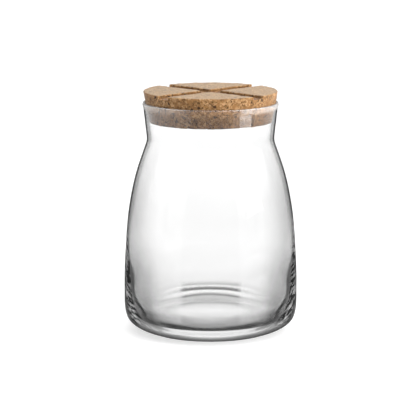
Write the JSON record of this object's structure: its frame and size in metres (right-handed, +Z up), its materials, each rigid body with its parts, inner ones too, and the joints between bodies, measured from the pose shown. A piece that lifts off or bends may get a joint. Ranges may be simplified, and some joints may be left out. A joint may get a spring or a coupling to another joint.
{
  "type": "glass jar with cork lid",
  "caption": "Blown clear glass storage jar with a heavy rounded base and a tapered cork stopper, cross-cut on top, that lifts off.",
  "frame": {"origin": "centre of the jar's foot, on the surface that it stands on", "axes": "+Z up along the jar's axis of revolution; the stopper's grooves run at 45 degrees to X and Y"},
  "size_m": [0.15, 0.15, 0.21],
  "materials": {
    "clear_glass": "polished",
    "pressed_cork": "matte"
  },
  "bodies": {
    "jar": {"glass_jar": "clear_glass"},
    "stopper": {"cork_stopper": "pressed_cork"}
  },
  "joints": [
    {"name": "stopper_lift", "type": "slide", "parent": "jar", "child": "stopper", "axis": [0, 0, 1], "range_m": [0, 0.08]}
  ]
}
